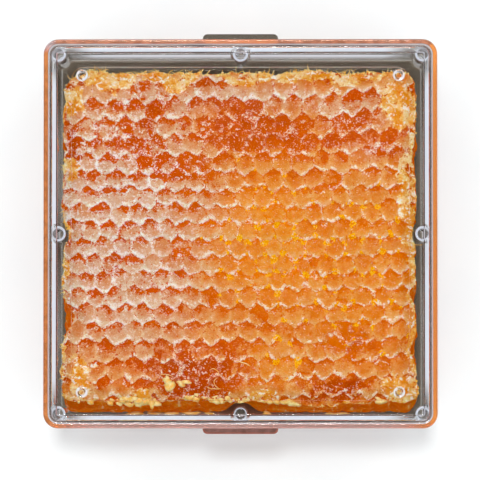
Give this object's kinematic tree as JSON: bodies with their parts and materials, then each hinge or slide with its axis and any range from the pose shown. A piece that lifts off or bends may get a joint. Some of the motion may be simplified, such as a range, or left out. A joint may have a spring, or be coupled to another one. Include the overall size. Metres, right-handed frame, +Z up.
{
  "type": "comb honey in a clear case",
  "caption": "Square slab of capped honeycomb with ragged bee-built edges, shut in a shallow clear plastic case with a lipped lid.",
  "frame": {"origin": "middle of the case's box at the height of the tray's foot, where it rests", "axes": "+Z up out of the capped face, the case lying flat; +Y towards the side where the comb stops short of the wall; +X to the right seen from above"},
  "size_m": [0.1096, 0.1114, 0.035],
  "materials": {
    "comb": "waxy caps, pale and matt where dry, amber and wet where honey shows through",
    "case_base": "clear moulded plastic with a faint smoke tint, glossy",
    "case_lid": "clear moulded plastic, glossy"
  },
  "bodies": {
    "root": {"comb": "comb", "case_base": "case_base", "case_lid": "case_lid"}
  },
  "joints": []
}
